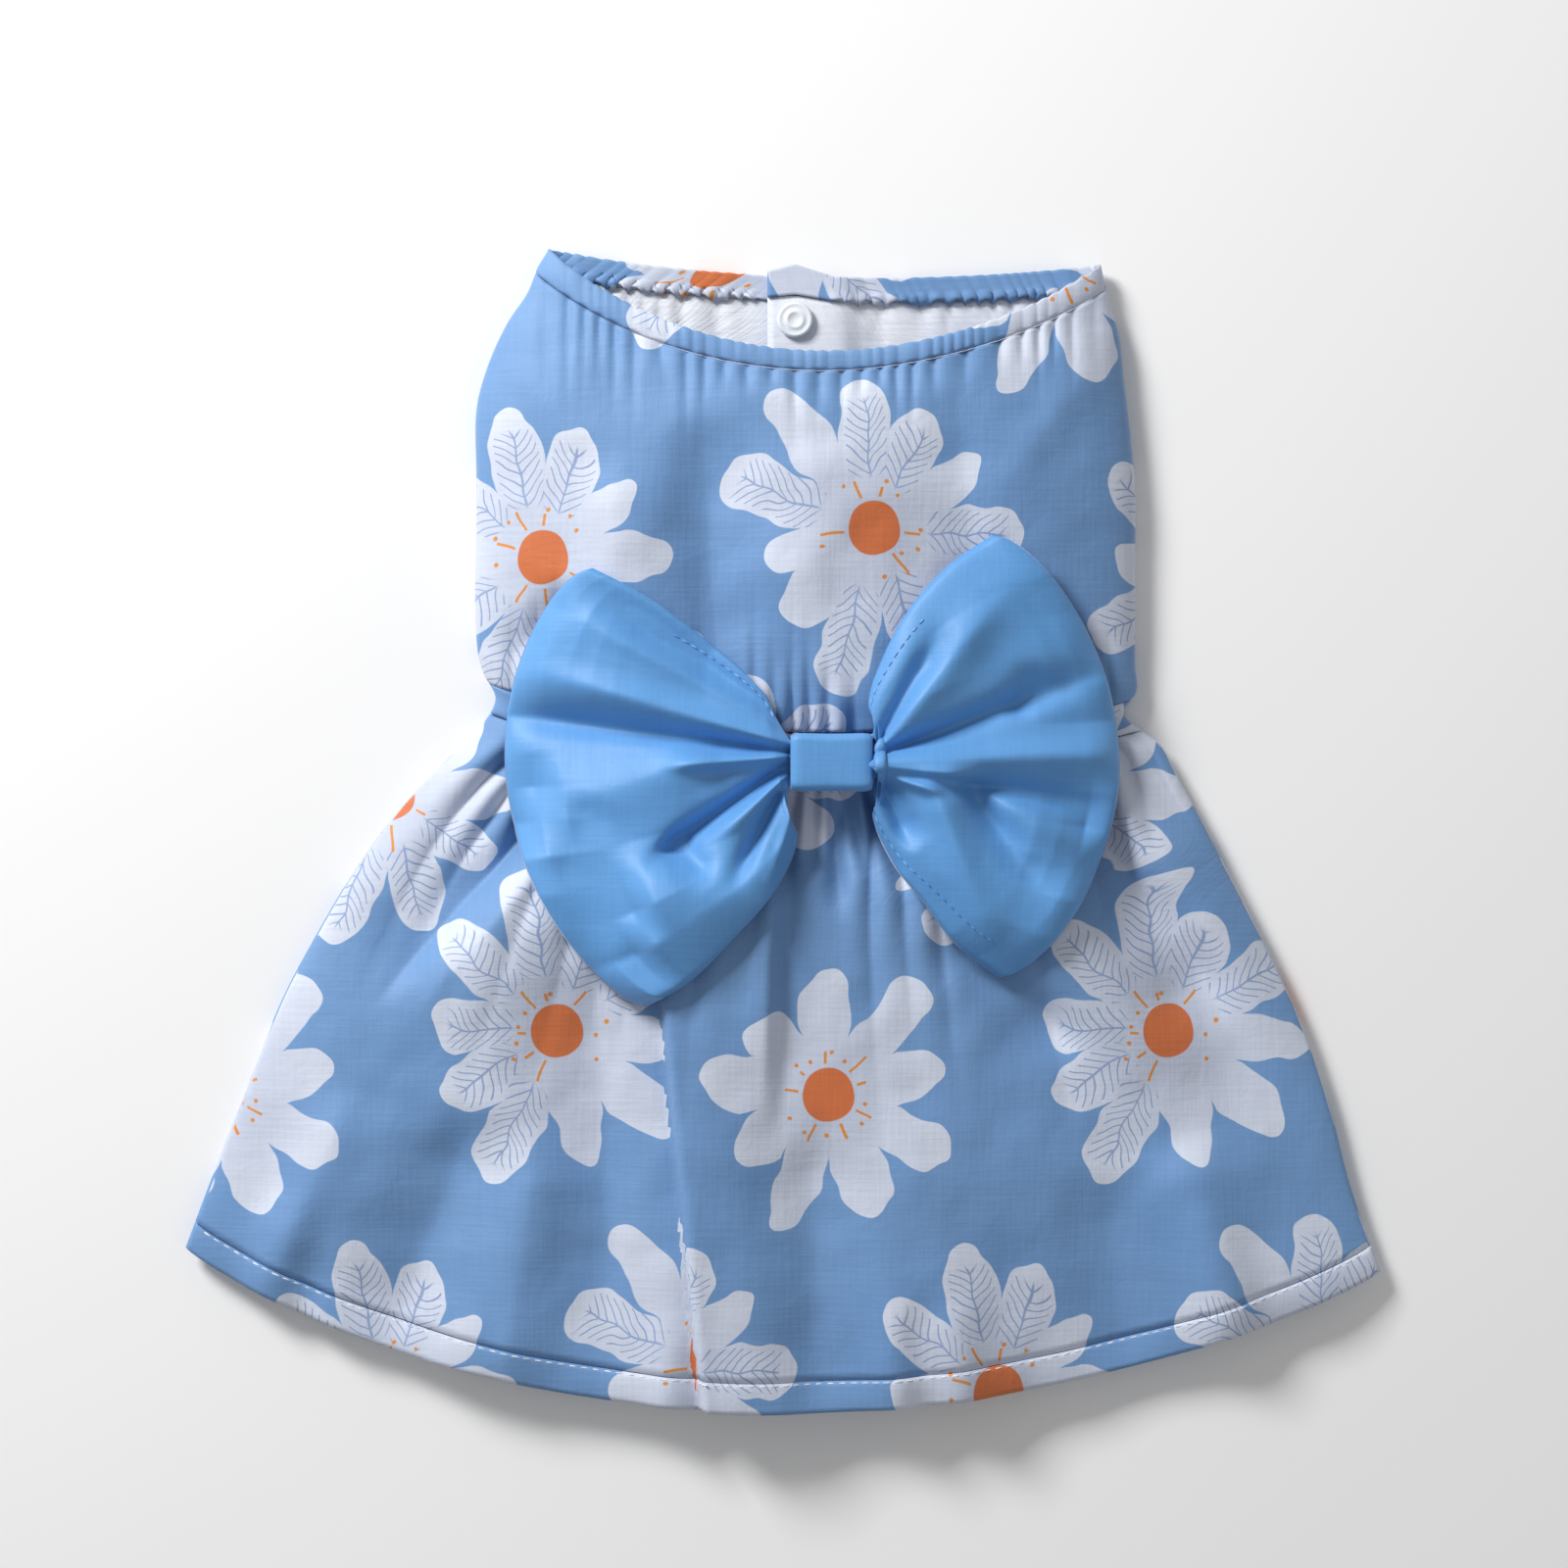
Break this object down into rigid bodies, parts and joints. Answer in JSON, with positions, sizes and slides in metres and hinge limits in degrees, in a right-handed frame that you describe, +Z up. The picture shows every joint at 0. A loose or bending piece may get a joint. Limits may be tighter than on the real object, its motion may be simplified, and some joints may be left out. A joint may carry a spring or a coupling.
{
  "type": "dog dress",
  "caption": "Sleeveless flared dog dress with a gathered neck and waist, a snapped belly placket and a large satin bow on the back, lying flat.",
  "frame": {"origin": "on the floor under the middle of the dress as it lies", "axes": "+Z up from the belly to the back, +Y from the hem to the neck, +X to the right seen from above with the neck away"},
  "size_m": [0.3462, 0.3362, 0.0337],
  "materials": {
    "printed_cloth": "matte",
    "bow_satin": "satin",
    "snap_plastic": "gloss"
  },
  "bodies": {
    "root": {"neck_band": "printed_cloth", "bodice": "printed_cloth", "waist_band": "printed_cloth", "skirt": "printed_cloth", "skirt_hem": "printed_cloth", "bow_loops": "bow_satin", "bow_knot": "bow_satin", "snap_1": "snap_plastic", "snap_2": "snap_plastic", "snap_3": "snap_plastic", "snap_4": "snap_plastic"}
  },
  "joints": []
}
